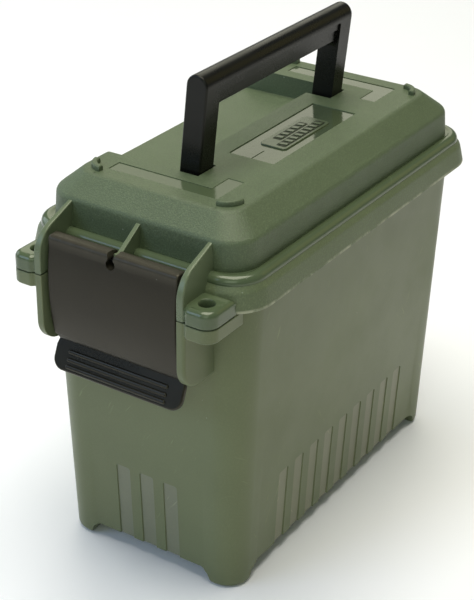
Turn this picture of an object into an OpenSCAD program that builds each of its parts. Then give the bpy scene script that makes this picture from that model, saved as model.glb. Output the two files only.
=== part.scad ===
// Hard-shell storage box with a hinged lid, a wide snap-over front latch and a fold-down carry handle.
// X is the box's width, -Y its latch side, +Y its hinge side, and Z = 0 the plane its feet stand on.

/* [Overall size] */
// Width across the bottom edge of the lid skirt
skirt_w = 131.6; // [128:0.2:136]
// Length across the bottom edge of the lid skirt
skirt_l = 229; // [225:1:240]
// Height of the parting line between tub and lid
parting_z = 165.2; // [160:0.2:170]
// Height of the lid, from the parting line to its flat top
lid_h = 39.2; // [38.6:0.2:42]

/* [Tub] */
// Thickness of the moulded walls
wall = 3; // [2.5:0.1:3.2]
// Height of the corner feet
foot_h = 8.5; // [6:0.5:12]
// Length of a foot along the front wall, from the box's side
foot_reach_x = 17; // [14:1:24]
// Length of a foot along the side wall, from the box's end
foot_reach_y = 15; // [14:1:24]
// How far the skirt overhangs the tub's walls
skirt_overhang = 7; // [6.8:0.1:7.4]
// How far each tub wall leans in between the parting line and the floor
tub_draft = 6; // [4:0.5:7]
// Corner radius of the tub at the parting line
tub_corner_r = 19; // [18:0.5:20]
// Number of recessed flutes in each end wall
end_flutes = 3; // [1:1:3]
// Number of recessed flutes in each side wall
side_flutes = 9; // [3:1:9]
// Width of one flute
flute_w = 8.8; // [6:0.2:9.4]
// Height of the flutes' upper ends above the feet
flute_top_z = 52.6; // [40:1:70]
// Depth of the flutes
flute_depth = 1; // [0.6:0.1:1.4]

/* [Lid] */
// Corner radius of the skirt's bottom edge
skirt_corner_r = 21; // [20:0.5:23]
// Height of the skirt below the bead
skirt_h = 12.8; // [12.4:0.2:14]
// Radius of the rounded bead that covers the seal channel
bead_r = 3.6; // [3.2:0.1:4]
// How far the upper lid's walls stand in from the skirt's bottom edge
band_inset = 9.9; // [9.7:0.1:10.2]
// How far the lid's flat top stands in from its bottom edge
top_inset = 21.2; // [20.6:0.2:22]
// Vertical height of the slanted shoulder around the top
shoulder_h = 10; // [8:0.5:10.5]
// Depth of the handle well
well_depth = 12; // [12:0.1:12.4]
// Length of the handle well
well_l = 136.6; // [136.4:0.1:138]
// Height of the corner stacking ridges
ridge_h = 2.6; // [1.5:0.1:4]

/* [Handle] */
// Overall length of the handle
handle_l = 132.8; // [130:0.2:133]
// Height of the handle from its pivot to the top of the grip
handle_h = 54.6; // [50:0.2:55]
// Thickness of the handle
handle_t = 11.8; // [11:0.1:11.8]
// Width of each leg along the box
leg_w = 11.2; // [10:0.2:12]
// Depth of the grip
grip_h = 16.6; // [13:0.2:18]
// How far the raised handle leans past vertical
handle_lean = 5.6; // [4:0.1:5.6]

/* [Latch] */
// Width of the latch panel
latch_w = 73.8; // [70:0.2:74]
// Thickness of the latch panel
latch_t = 3; // [2.6:0.1:3.2]
// Radius of the latch's hinge roll
roll_r = 4.6; // [4.5:0.1:5.2]
// Width of the finger tab
tab_w = 76; // [74:0.5:77]
// Height of the finger tab's lower edge above the feet
tab_bottom_z = 114.5; // [112:0.5:118]
// Diameter of the padlock holes
padlock_d = 7; // [6:0.5:8]

/* [Hidden] */

$fn = 64;
eps = 0.01;
run_gap = 0.05;                       // radial clearance of a pin in its bore
long = 40;                            // reach of a cutter that passes right through

// Tub
tub_w = skirt_w - 2 * skirt_overhang;
tub_l = skirt_l - 2 * skirt_overhang;
draft_per_mm = tub_draft / (parting_z - foot_h);
floor_z = foot_h + wall;
end_flute_pitch = 14.4;
side_flute_pitch = 14.9;
foot_depth = 9;                       // of a foot's L-shaped section, in from the wall's outside

// Rim, seal and the lid's inside, from the outside in
skirt_inner_inset = 4.3;              // from the skirt's bottom edge to its inner wall
rim_inset = skirt_inner_inset + 0.4;
rim_h = 6.3;                          // rim above the parting line
rim_curb = 2.4;                       // rim flange below the parting line
land_z = parting_z + 7.8;             // underside of the lid's sealing land
seal_inset = 7.35;                    // centre line of the seal
seal_w = 4;
seal_h = 3.8;
seal_gap = 0.1;
tongue_w = 1.2;
tongue_top_z = land_z - run_gap;

// Upper lid
lid_top_z = parting_z + lid_h;
shoulder_z = lid_top_z - shoulder_h;
skirt_top_inset = 2.9;
bead_inset = 6.9;
bead_z = parting_z + 12.4;
band_r = 15.3;
top_r = 10;
ceiling_z = lid_top_z - wall;

// Handle well and pivots
well_floor_z = lid_top_z - well_depth;
well_right_x = -6.7;
well_lip_x = -52.2;                   // where the well's floor rounds off at the open side
well_lip_r = 4;
handle_turn_r = handle_t / 2;
pivot_x = 1.2;
pivot_z = well_floor_z + handle_turn_r + 0.3;
leg_inner_y = handle_l / 2 - leg_w;
notch_inner_y = leg_inner_y - 2;
notch_right_x = 8;
handle_pin_r = 2;
handle_pin_head_r = 2.6;
handle_pin_head_h = 1.4;
window_chamfer = 3.4;

// Shallow recesses and the badge on the lid's top
recess_depth = 0.5;
badge_t = 1.3;

// Corner stacking ridges
ridge_x = 33;
ridge_y = 81.2;
ridge_r = 9.2;
ridge_t = 3;

// Latch, its cheeks and the padlock ears
cheek_in = latch_w / 2 + 1.3;
cheek_t = 4;
tub_cheek_t = 4.4;                    // the plates below the tub's ears are a little thicker
cheek_out = cheek_in + cheek_t;
front_y = -skirt_l / 2;
cheek_front_y = front_y - 15;
part_gap = 0.6;                       // between the lid's and the tub's ears and cheeks
latch_y = front_y - 7;                // latch pin
latch_z = parting_z + 15.3;
latch_pin_r = 1.5;
latch_pin_blind = 3;                  // depth of the pin's blind hole in the right cheek
panel_bow_r = 125;
panel_mid_z = parting_z - 5.2;
panel_front_y = front_y - 13.3;
panel_bottom_z = parting_z - 32.4;
rib_half = 1.2;
slot_half = 1.9;
hub_r = 3.1;
hook_open = 0.5;                      // how far in front of the pin's axis the middle rib's hook ends
ear_right_x = 57.6;                   // the left ear is a little narrower than the right one
ear_left_x = 55.4;
ear_front_y = front_y - 16.1;
ear_back_y = front_y + 6;
ear_r = 9;
lid_ear_h = 8;
tub_ear_h = 7.1;
padlock_right = [48.9, front_y - 6.3];
padlock_left = [46.6, front_y - 5.8];

// Rear hinge
hinge_y = skirt_l / 2 + 5.6;
hinge_z = parting_z - 0.2;
barrel_r = 4.5;
hinge_pin_r = 2;
hinge_x = 30;
lid_lug_w = 12;
tub_lug_w = 6.8;
lug_gap = 0.6;
hinge_w = lid_lug_w + 2 * lug_gap + 2 * tub_lug_w;

// The origin is the centre of the whole outline, which reaches further at the latch than at the hinge
frame_y = -(ear_front_y + hinge_y + barrel_r) / 2;

green = [0.36, 0.41, 0.30];
dark_green = [0.32, 0.37, 0.27];
black = [0.09, 0.085, 0.08];
steel = [0.62, 0.63, 0.64];

// ---------- shared shapes ----------

module in_frame() { translate([0, frame_y, 0]) children(); }

module rounded_rect(w, l, r) {
    square([w - 2 * r, l], center = true);
    square([w, l - 2 * r], center = true);
    for (x = [-1, 1], y = [-1, 1]) translate([x * (w / 2 - r), y * (l / 2 - r)]) circle(r);
}

module plate(w, l, r, z0, z1) { translate([0, 0, z0]) linear_extrude(z1 - z0) rounded_rect(w, l, r); }

// A plate that follows the skirt's outline, stepped in from it by an inset
module skirt_plate(inset, z0, z1, r = -1) {
    plate(skirt_w - 2 * inset, skirt_l - 2 * inset, r < 0 ? skirt_corner_r - inset : r, z0, z1);
}

module skirt_ring(inset, width, z0, z1) {
    difference() {
        skirt_plate(inset - width / 2, z0, z1);
        skirt_plate(inset + width / 2, z0 - 1, z1 + 1);
    }
}

// The tub's tapered outline at one height, as a thin slab
module tub_slab(z, inset) {
    lean = draft_per_mm * (parting_z - z) + inset;
    plate(tub_w - 2 * lean, tub_l - 2 * lean, tub_corner_r - lean, z, z + eps);
}

// A profile drawn in Y and Z, extruded along X between two places
module along_x(x0, x1) { translate([x0, 0, 0]) rotate([90, 0, 90]) linear_extrude(x1 - x0) children(); }

// A profile drawn in X and Z, extruded along Y about its middle
module along_y(l) { rotate([90, 0, 0]) linear_extrude(l, center = true) children(); }

module rod_x(x0, x1, r) { translate([x0, 0, 0]) rotate([0, 90, 0]) cylinder(h = x1 - x0, r = r); }

module rod_y(y0, y1, r) { translate([0, y0, 0]) rotate([-90, 0, 0]) cylinder(h = y1 - y0, r = r); }

module both_sides() {
    children();
    mirror([1, 0, 0]) children();
}

module both_ends() {
    children();
    mirror([0, 1, 0]) children();
}

// Points of an arc about a centre, in steps of a few degrees
function arc(c, r, a0, a1, n = 10) =
    [for (i = [0 : n]) let (a = a0 + (a1 - a0) * i / n) c + r * [cos(a), sin(a)]];

// One ear: it starts behind the cheek's front edge and steps forward just beside the cheek
module ear_outline(reach, hole) {
    step_x = cheek_out + 0.4;
    difference() {
        union() {
            polygon([[cheek_in, ear_back_y], [cheek_in, cheek_front_y + 1], [step_x, cheek_front_y + 1],
                     [step_x + 2, ear_front_y], [reach - ear_r, ear_front_y], [reach - ear_r, ear_back_y]]);
            translate([cheek_in, ear_front_y + ear_r])
                square([reach - cheek_in, ear_back_y - ear_front_y - ear_r]);
            translate([reach - ear_r, ear_front_y + ear_r]) circle(ear_r);
        }
        translate(hole) circle(d = padlock_d);
    }
}

module ears(z0, h) {
    translate([0, 0, z0]) linear_extrude(h) {
        ear_outline(ear_right_x, padlock_right);
        mirror([1, 0, 0]) ear_outline(ear_left_x, padlock_left);
    }
}

// ---------- tub ----------

module tub_flute(w, l) {
    translate([-w / 2, -flute_depth, 0]) cube([w, l, flute_top_z]);
}

// Flutes follow the lean of the wall that they are cut in
module flute_row(count, pitch, wall_y) {
    lean = atan(draft_per_mm);
    for (i = [0 : count - 1])
        translate([(i - (count - 1) / 2) * pitch, wall_y, 0]) rotate([-lean, 0, 0]) tub_flute(flute_w, long);
}

module tub_flutes() {
    base_lean = draft_per_mm * parting_z;
    both_ends() flute_row(end_flutes, end_flute_pitch, tub_l / 2 - base_lean);
    both_sides() rotate([0, 0, -90]) flute_row(side_flutes, side_flute_pitch, tub_w / 2 - base_lean);
}

// Clear space between the corner feet
module tub_foot_gaps() {
    base_w = tub_w - 2 * tub_draft;
    base_l = tub_l - 2 * tub_draft;
    gap_x = base_w - 2 * foot_reach_x;
    gap_y = base_l - 2 * foot_reach_y;
    translate([-gap_x / 2, -long * 4, -1]) cube([gap_x, long * 8, foot_h + 1]);
    translate([-long * 4, -gap_y / 2, -1]) cube([long * 8, gap_y, foot_h + 1]);
    plate(base_w - 2 * foot_depth, base_l - 2 * foot_depth, foot_depth - 1, -1, foot_h);
}

module tub_cheek() {
    top_z = parting_z - part_gap;
    turn_r = 12;
    turn = [cheek_front_y + turn_r, parting_z - 25.5];
    along_x(cheek_in, cheek_in + tub_cheek_t)
        polygon(concat([[front_y + 10, top_z], [cheek_front_y, top_z]], arc(turn, turn_r, 180, 270),
                       [[front_y + 10, turn[1] - turn_r]]));
}

// Bar behind the latch panel: its outer face rises as a shallow ramp that the hook snaps over
module catch_bar() {
    along_x(-cheek_in - 1, cheek_in + 1)
        polygon([[front_y + 10, parting_z - 13], [front_y + 2.5, parting_z - 15],
                 [front_y - 2.4, parting_z - 22.5], [front_y - 1.2, parting_z - 31.7],
                 [front_y + 10, parting_z - 34]]);
}

module tub_lug(x0) {
    difference() {
        union() {
            translate([0, hinge_y, hinge_z]) rod_x(x0, x0 + tub_lug_w, barrel_r);
            along_x(x0, x0 + tub_lug_w)
                polygon([[tub_l / 2 - 2, hinge_z - 0.6], [hinge_y, hinge_z - 0.6],
                         [hinge_y + 3.2, hinge_z - 3.2], [tub_l / 2 - 2, hinge_z - 17]]);
        }
        translate([0, hinge_y, hinge_z]) rod_x(x0 - 1, x0 + tub_lug_w + 1, hinge_pin_r + run_gap);
    }
}

module tub() {
    in_frame() color(green) difference() {
        union() {
            difference() {
                hull() {
                    tub_slab(0, 0);
                    tub_slab(parting_z, 0);
                }
                tub_foot_gaps();
                tub_flutes();
            }
            skirt_plate(rim_inset, parting_z - rim_curb, parting_z + rim_h);
            skirt_ring(seal_inset, tongue_w, parting_z + rim_h - 1, tongue_top_z);
            both_sides() tub_cheek();
            ears(parting_z - part_gap - tub_ear_h, tub_ear_h);
            catch_bar();
            both_sides() {
                tub_lug(hinge_x - hinge_w / 2);
                tub_lug(hinge_x + hinge_w / 2 - tub_lug_w);
            }
        }
        hull() {
            tub_slab(floor_z, wall);
            tub_slab(parting_z + rim_h + 5, wall);
        }
    }
}

// ---------- lid ----------

module bead() {
    w = skirt_w / 2 - bead_inset;
    l = skirt_l / 2 - bead_inset;
    r = skirt_corner_r - bead_inset;
    translate([0, 0, bead_z]) {
        both_sides() translate([w, 0, 0]) rod_y(-l + r, l - r, bead_r);
        both_ends() translate([0, l, 0]) rod_x(-w + r, w - r, bead_r);
        both_sides() both_ends()
            translate([w - r, l - r, 0]) rotate_extrude(angle = 90) translate([r, 0]) circle(bead_r);
    }
}

// The raised upper lid: upright band, slanted shoulder and flat top
module upper_lid() {
    hull() {
        skirt_plate(band_inset, bead_z - 2, shoulder_z, band_r);
        skirt_plate(top_inset, lid_top_z - eps, lid_top_z, top_r);
    }
}

module upper_lid_inside() {
    hull() {
        skirt_plate(band_inset + wall, land_z - 1, shoulder_z - 1.2, band_r - wall);
        skirt_plate(top_inset + 2.2, ceiling_z - eps, ceiling_z, top_r - 1.5);
    }
}

module skirt_outside() {
    hull() {
        skirt_plate(0, parting_z, parting_z + 1);
        skirt_plate(skirt_top_inset, parting_z + skirt_h - eps, parting_z + skirt_h);
    }
}

// Solid stock that the handle well and the leg notches are cut from
module well_stock() {
    z0 = well_floor_z - wall;
    y0 = well_l / 2 + wall;
    translate([-skirt_w / 2, -y0, z0]) cube([skirt_w / 2 + well_right_x + wall, 2 * y0, long]);
    both_ends() translate([well_right_x, notch_inner_y - wall, z0])
        cube([notch_right_x + wall - well_right_x, y0 - notch_inner_y + wall, long]);
}

module well_cut() {
    y0 = well_l / 2;
    along_y(2 * y0) difference() {
        union() {
            translate([well_lip_x, well_floor_z]) square([well_right_x - well_lip_x, long]);
            translate([well_lip_x - long, well_floor_z - well_lip_r]) square([long + eps, long]);
        }
        translate([well_lip_x, well_floor_z - well_lip_r]) circle(well_lip_r);
    }
    both_ends() translate([well_right_x - eps, notch_inner_y, well_floor_z])
        cube([notch_right_x - well_right_x, y0 - notch_inner_y, long]);
}

// L-shaped glossy recess at one end of the lid's top
module end_recess() {
    translate([-32, 76, lid_top_z - recess_depth]) cube([61.5, 8.6, long]);
    translate([21, 62, lid_top_z - recess_depth]) cube([8.5, 20, long]);
}

module label_recess() {
    translate([4.3, -36.4, lid_top_z - recess_depth]) cube([25.3, 78.4, long]);
}

module stacking_ridge() {
    translate([ridge_x, ridge_y, lid_top_z - 1]) linear_extrude(ridge_h + 1) intersection() {
        difference() {
            circle(ridge_r);
            circle(ridge_r - ridge_t);
        }
        square(long);
    }
}

module lid_cheek() {
    turn_r = 15;
    turn = [cheek_front_y + turn_r, parting_z + 8.8];
    end_a = 110;
    last = turn + turn_r * [cos(end_a), sin(end_a)];
    run = front_y + 14 - last[0];
    along_x(cheek_in, cheek_out)
        polygon(concat([[front_y + 14, parting_z], [cheek_front_y, parting_z]], arc(turn, turn_r, 180, end_a),
                       [last + run * [1, -1 / tan(end_a)]]));
}

// Thin middle rib that backs the latch pin inside the notch of the latch, with a hook open to the front
module centre_rib() {
    along_x(-rib_half, rib_half) difference() {
        union() {
            polygon([[front_y + 12, parting_z + 28.4], [latch_y + 3, latch_z + 3], [latch_y, latch_z],
                     [latch_y + 1, latch_z - hub_r + 0.1], [front_y + 3, parting_z + 6],
                     [front_y + 12, parting_z + 8]]);
            translate([latch_y, latch_z]) circle(hub_r);
        }
        translate([latch_y - long - hook_open, latch_z - long / 2]) square(long);
    }
}

module lid_lug() {
    x0 = hinge_x - lid_lug_w / 2;
    translate([0, hinge_y, hinge_z]) rod_x(x0, x0 + lid_lug_w, barrel_r);
    along_x(x0, x0 + lid_lug_w)
        polygon([[skirt_l / 2 - 2.5, parting_z + 0.2], [hinge_y, parting_z + 0.2],
                 [hinge_y + 2.4, hinge_z + 3.7], [skirt_l / 2 - 2.5, parting_z + 12]]);
}

module lid_shell() {
    in_frame() color(dark_green) difference() {
        union() {
            difference() {
                union() {
                    skirt_outside();
                    bead();
                    upper_lid();
                    both_sides() lid_cheek();
                    centre_rib();
                    ears(parting_z, lid_ear_h);
                    both_sides() lid_lug();
                }
                skirt_plate(skirt_inner_inset, parting_z - 1, land_z);
                skirt_ring(seal_inset, seal_w + 2 * seal_gap, land_z - 1, land_z + seal_h);
                upper_lid_inside();
            }
            intersection() {
                upper_lid();
                well_stock();
            }
            both_sides() both_ends() stacking_ridge();
        }
        well_cut();
        both_ends() end_recess();
        label_recess();
        translate([pivot_x, 0, pivot_z]) both_ends()
            rod_y(notch_inner_y - wall - 1, well_l / 2 + wall + 1, handle_pin_r + run_gap);
        translate([0, latch_y, latch_z])
            rod_x(-cheek_out - 1, cheek_in + latch_pin_blind, latch_pin_r + run_gap);
        both_sides() translate([0, hinge_y, hinge_z]) rod_x(hinge_x - long / 2, hinge_x + long / 2,
                                                            hinge_pin_r + run_gap);
    }
}

module lid_seal() {
    in_frame() color(black) skirt_ring(seal_inset, seal_w, land_z, land_z + seal_h);
}

module badge_plate() {
    in_frame() color(dark_green)
        translate([17.5, 2.9, lid_top_z - recess_depth]) linear_extrude(badge_t) rounded_rect(15, 43.4, 2.4);
}

// ---------- handle ----------

module handle_outline(t) {
    translate([-t / 2, 0]) square([t, handle_h - t / 2]);
    circle(d = t);
    translate([0, handle_h - t / 2]) circle(d = t);
}

module handle_window() {
    top = handle_h - grip_h;
    half = leg_inner_y;
    along_x(-long, long)
        polygon([[-half, -long], [half, -long], [half, top - window_chamfer], [half - window_chamfer, top],
                 [-half + window_chamfer, top], [-half, top - window_chamfer]]);
}

// Recess along each side of the grip's lower half
module grip_side_recess() {
    translate([handle_t / 2 - 1.6, -leg_inner_y, handle_h - grip_h - 1]) cube([long, 2 * leg_inner_y, 8.6]);
}

module carry_handle() {
    in_frame() color(black) translate([pivot_x, 0, pivot_z]) rotate([0, handle_lean, 0]) difference() {
        along_y(handle_l) handle_outline(handle_t);
        handle_window();
        both_sides() grip_side_recess();
        rod_y(-handle_l, handle_l, handle_pin_r + run_gap);
    }
}

module handle_pin() {
    head_y = notch_inner_y - wall;
    translate([pivot_x, 0, pivot_z]) {
        rod_y(head_y, well_l / 2 + wall - 0.2, handle_pin_r);
        rod_y(head_y - handle_pin_head_h, head_y, handle_pin_head_r);
    }
}

module handle_pin_front() { in_frame() color(steel) mirror([0, 1, 0]) handle_pin(); }

module handle_pin_rear() { in_frame() color(steel) handle_pin(); }

// ---------- latch ----------

module latch_panel() {
    c = [panel_front_y + panel_bow_r, panel_mid_z];
    low = 180 + asin((c[1] - panel_bottom_z) / panel_bow_r);
    high = 180 - asin((latch_z - c[1]) / panel_bow_r);
    along_x(-latch_w / 2, latch_w / 2)
        polygon(concat(arc(c, panel_bow_r, low, high, 16), arc(c, panel_bow_r - latch_t, high, low, 16)));
}

// Ledge across the panel's lower edge, with the lip that sits under the catch bar
module latch_hook() {
    along_x(-latch_w / 2 + 0.4, latch_w / 2 - 0.4)
        polygon([[front_y - 9.5, panel_bottom_z], [front_y - 9, panel_bottom_z + 5],
                 [front_y - 5, panel_bottom_z + 0.5], [front_y - 1.5, panel_bottom_z + 0.5],
                 [front_y - 2.2, panel_bottom_z - 3], [front_y - 8, panel_bottom_z - 3]]);
}

// Finger tab that flares forward below the panel, with slanted flanks and rounded lower corners
module finger_tab() {
    top_z = panel_bottom_z + 0.4;
    flare = 8;
    t = 2.7;
    corner_r = 6;
    flank_z = panel_bottom_z - 7;     // where the flanks start to slant in
    neck = 2.6;
    intersection() {
        along_x(-tab_w / 2, tab_w / 2)
            polygon([[front_y - 5, top_z], [front_y - 5 - flare, tab_bottom_z],
                     [front_y - 5 - flare + t, tab_bottom_z], [front_y - 5 + t, top_z]]);
        rotate([90, 0, 0]) linear_extrude(long * 5) {
            translate([-tab_w / 2 + corner_r, tab_bottom_z]) square([tab_w - 2 * corner_r, 30]);
            polygon([[-tab_w / 2, tab_bottom_z + corner_r], [tab_w / 2, tab_bottom_z + corner_r],
                     [tab_w / 2, flank_z], [tab_w / 2 - neck, top_z + 1],
                     [-tab_w / 2 + neck, top_z + 1], [-tab_w / 2, flank_z]]);
            for (x = [-1, 1])
                translate([x * (tab_w / 2 - corner_r), tab_bottom_z + corner_r]) circle(corner_r);
        }
    }
}

module latch() {
    in_frame() color(black) difference() {
        union() {
            latch_panel();
            translate([0, latch_y, latch_z]) rod_x(-latch_w / 2, latch_w / 2, roll_r);
            latch_hook();
            finger_tab();
        }
        translate([0, latch_y, latch_z]) {
            rod_x(-latch_w, latch_w, latch_pin_r + run_gap);
            rod_x(-slot_half, slot_half, hub_r + 0.5);
            translate([-slot_half, -roll_r - 5, -0.5]) cube([2 * slot_half, 2 * roll_r + 10, long]);
            translate([-slot_half, 0, -roll_r - 5]) cube([2 * slot_half, long, long]);
            rod_y(-roll_r - 5, 0, 2.7);
        }
    }
}

module latch_pin() {
    in_frame() color(steel) translate([0, latch_y, latch_z])
        rod_x(-cheek_out, cheek_in + latch_pin_blind - 0.2, latch_pin_r);
}

// ---------- rear hinge ----------

module hinge_pin() {
    translate([0, hinge_y, hinge_z]) rod_x(hinge_x - hinge_w / 2, hinge_x + hinge_w / 2, hinge_pin_r);
}

module hinge_pin_left() { in_frame() color(steel) mirror([1, 0, 0]) hinge_pin(); }

module hinge_pin_right() { in_frame() color(steel) hinge_pin(); }

tub();
lid_shell();
lid_seal();
badge_plate();
carry_handle();
handle_pin_front();
handle_pin_rear();
latch();
latch_pin();
hinge_pin_left();
hinge_pin_right();
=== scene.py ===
# Looks of the storage box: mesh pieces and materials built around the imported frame.
import bpy
import bmesh
import math
from mathutils import Vector, Matrix


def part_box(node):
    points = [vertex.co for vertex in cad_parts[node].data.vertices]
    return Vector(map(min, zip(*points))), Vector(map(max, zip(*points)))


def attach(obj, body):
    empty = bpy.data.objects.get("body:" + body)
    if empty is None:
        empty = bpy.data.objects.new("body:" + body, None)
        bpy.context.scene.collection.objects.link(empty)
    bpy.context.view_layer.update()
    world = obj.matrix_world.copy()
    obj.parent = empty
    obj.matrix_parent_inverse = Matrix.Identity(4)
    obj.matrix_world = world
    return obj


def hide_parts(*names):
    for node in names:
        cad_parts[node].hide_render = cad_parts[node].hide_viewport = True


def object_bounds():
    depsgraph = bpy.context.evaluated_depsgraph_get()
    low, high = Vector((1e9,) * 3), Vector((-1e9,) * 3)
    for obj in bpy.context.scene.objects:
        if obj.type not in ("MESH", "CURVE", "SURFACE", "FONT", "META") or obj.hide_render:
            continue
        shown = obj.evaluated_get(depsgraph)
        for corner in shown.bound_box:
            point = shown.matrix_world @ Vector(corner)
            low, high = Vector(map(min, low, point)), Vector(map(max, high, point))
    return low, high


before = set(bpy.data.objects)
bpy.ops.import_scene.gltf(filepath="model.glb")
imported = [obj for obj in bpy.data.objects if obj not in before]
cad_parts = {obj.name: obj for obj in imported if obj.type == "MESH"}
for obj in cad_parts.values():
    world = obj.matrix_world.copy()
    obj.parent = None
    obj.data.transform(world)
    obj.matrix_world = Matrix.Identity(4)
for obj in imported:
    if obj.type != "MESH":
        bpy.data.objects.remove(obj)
cad_lo, cad_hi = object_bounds()

# ---------------------------------------------------------------- sizes, in millimetres
seal_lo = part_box("lid_seal")[0]
handle_lo, handle_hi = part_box("carry_handle")
badge_lo, badge_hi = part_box("badge_plate")
shell_lo, shell_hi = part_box("lid_shell")

MM = 0.001
MID_Y = round((handle_lo.y + handle_hi.y) / 2 / MM, 3)      # the box's own middle in the frame
PART = round(seal_lo.z / MM - 7.8, 3)                       # parting line between tub and lid
SKIRT_W = round((shell_hi.x - shell_lo.x) / MM, 3)
SKIRT_L = 229.0                                             # the lid's skirt without latch and hinges
SKIRT_R = 21.0
LID_TOP = PART + 39.2                                       # the flat top
TUB_W, TUB_L, TUB_R = SKIRT_W - 14, SKIRT_L - 14, 19.0      # the tub at the parting line
FLOOR_Z = 8.5                                               # underside of the tub's floor
DRAFT = 6 / (PART - FLOOR_Z)                                # how far the walls lean per millimetre
WALL = 3.0
PANEL_X, PANEL_Y = (34.6, 33.0), (82.5, 80.5)               # step from the corner columns to the panels
PANEL_DEPTH, PANEL_TOP = 0.8, 100.0
FLUTE_TOP = 52.6
END_FLUTES, END_PITCH = 3, 14.4
SIDE_FLUTES, SIDE_PITCH = 9, 14.9
TUB_ARC, LID_ARC = 10, 14                                   # steps of a corner arc
FRONT = -SKIRT_L / 2                                        # the skirt's front face
WELL_Z = LID_TOP - 12
PIVOT = (1.2, WELL_Z + 6.2)                                 # handle pivot, X and Z
LEAN = math.radians(5.6)                                    # the raised handle's lean to the right
LATCH_Y, LATCH_Z = FRONT - 7, PART + 15.3                   # the latch's pin
LATCH_LOW = PART - 32.4                                     # lower end of the latch's panel
ROLL = 4.6                                                  # radius of the roll around the latch's pin
HINGE_Y, HINGE_Z = SKIRT_L / 2 + 5.6, PART - 0.2            # the lid's pins
CHEEK_IN, CHEEK_OUT = 38.2, 42.2                            # faces of the cheeks beside the latch
WELL_WALL, WELL_END = -6.7, 68.3                            # the handle well's right wall and its ends
NOTCH = 53.2                                                # inner end of the notches for the handle's legs
RECESS, END_RECESS = 0.5, 0.3                               # depths of the polished recesses in the top
SAME_POINT = 0.02                                           # points closer than this are one point
SHARP_EDGE = math.radians(32)                               # edges that turn more are shaded sharp


# ---------------------------------------------------------------- mesh helpers
def arc(cx, cy, r, a0, a1, n):
    """Points of an arc, angles in degrees, both ends included."""
    return [(cx + r * math.cos(math.radians(a0 + (a1 - a0) * i / n)),
             cy + r * math.sin(math.radians(a0 + (a1 - a0) * i / n))) for i in range(n + 1)]


def filleted(points, radii, n, closed=False):
    """A polyline whose corners are rounded, each to its own radius."""
    out, count = [], len(points)
    for i, p in enumerate(points):
        r = radii[i] if isinstance(radii, (list, tuple)) else radii
        if r <= 0 or (not closed and i in (0, count - 1)):
            out.append(tuple(p))
            continue
        p0, p1, p2 = Vector(points[i - 1]), Vector(p), Vector(points[(i + 1) % count])
        d0, d1 = (p0 - p1), (p2 - p1)
        l0, l1 = d0.length, d1.length
        d0.normalize()
        d1.normalize()
        half = d0.angle(d1) / 2
        reach = min(r / math.tan(half), 0.49 * l0, 0.49 * l1)
        r = reach * math.tan(half)
        centre = p1 + (d0 + d1).normalized() * (r / math.sin(half))
        a, b = p1 + d0 * reach - centre, p1 + d1 * reach - centre
        turn = math.atan2(a.x * b.y - a.y * b.x, a.dot(b))
        for k in range(n + 1):
            t = turn * k / n
            out.append((centre.x + a.x * math.cos(t) - a.y * math.sin(t),
                        centre.y + a.x * math.sin(t) + a.y * math.cos(t)))
    return out


def arched(half, low, top, r):
    """The outline of an upright plate whose two upper corners are rounded."""
    return filleted([(-half, low), (half, low), (half, top), (-half, top)], [0, 0, r, r], 4, True)


def side_points(stops, reach, push):
    """Points along a side from its positive end, reach from the middle. The inner pair is pushed in."""
    half = [(along, reach - (push if k == 1 else 0)) for k, along in enumerate(stops)]
    return half + [(-along, out) for along, out in reversed(half)]


def rounded(w, l, r, n, sx=(), sy=(), push=0.0, cx=0.0, cy=0.0):
    """A rounded rectangle, anticlockwise. sx and sy put pairs of points on the ends and on the sides."""
    hx, hy = w / 2, l / 2
    pts = []
    for quarter in range(4):
        sgx = 1 if quarter in (0, 3) else -1
        sgy = 1 if quarter in (0, 1) else -1
        pts += arc(sgx * (hx - r), sgy * (hy - r), r, quarter * 90, quarter * 90 + 90, n)
        side = side_points(sy, hx, push) if quarter % 2 else side_points(sx, hy, push)
        pts += [((a, d), (-d, a), (-a, -d), (d, -a))[quarter] for a, d in side]
    return [(x + cx, y + cy) for x, y in pts]


def loft(rings):
    """Skins rings of 3-D points that all have the same count, and caps both ends."""
    bm = bmesh.new()
    rows = [[bm.verts.new(p) for p in ring] for ring in rings]
    n = len(rings[0])
    for a, b in zip(rows, rows[1:]):
        for i in range(n):
            bm.faces.new((a[i], a[(i + 1) % n], b[(i + 1) % n], b[i]))
    bm.faces.new(rows[0])
    bm.faces.new(rows[-1])
    bmesh.ops.recalc_face_normals(bm, faces=bm.faces)
    return bm


def inward(loop):
    """Mitred inward normal at each point of an anticlockwise loop."""
    out, n = [], len(loop)
    for i in range(n):
        p0, p1, p2 = Vector(loop[i - 1]), Vector(loop[i]), Vector(loop[(i + 1) % n])
        e0, e1 = (p1 - p0).normalized(), (p2 - p1).normalized()
        n0, n1 = Vector((-e0.y, e0.x)), Vector((-e1.y, e1.x))
        m = n0 + n1
        m = m.normalized() if m.length > 1e-6 else n0
        out.append(m / max(0.35, m.dot(n0)))
    return out


def tidy_loop(loop):
    """The loop without points that repeat, anticlockwise."""
    out = []
    for p in loop:
        if not out or (Vector(p) - Vector(out[-1])).length > SAME_POINT:
            out.append(tuple(p))
    if (Vector(out[0]) - Vector(out[-1])).length < SAME_POINT:
        out.pop()
    area = sum(a[0] * b[1] - b[0] * a[1] for a, b in zip(out, out[1:] + out[:1]))
    return out if area > 0 else out[::-1]


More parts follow.
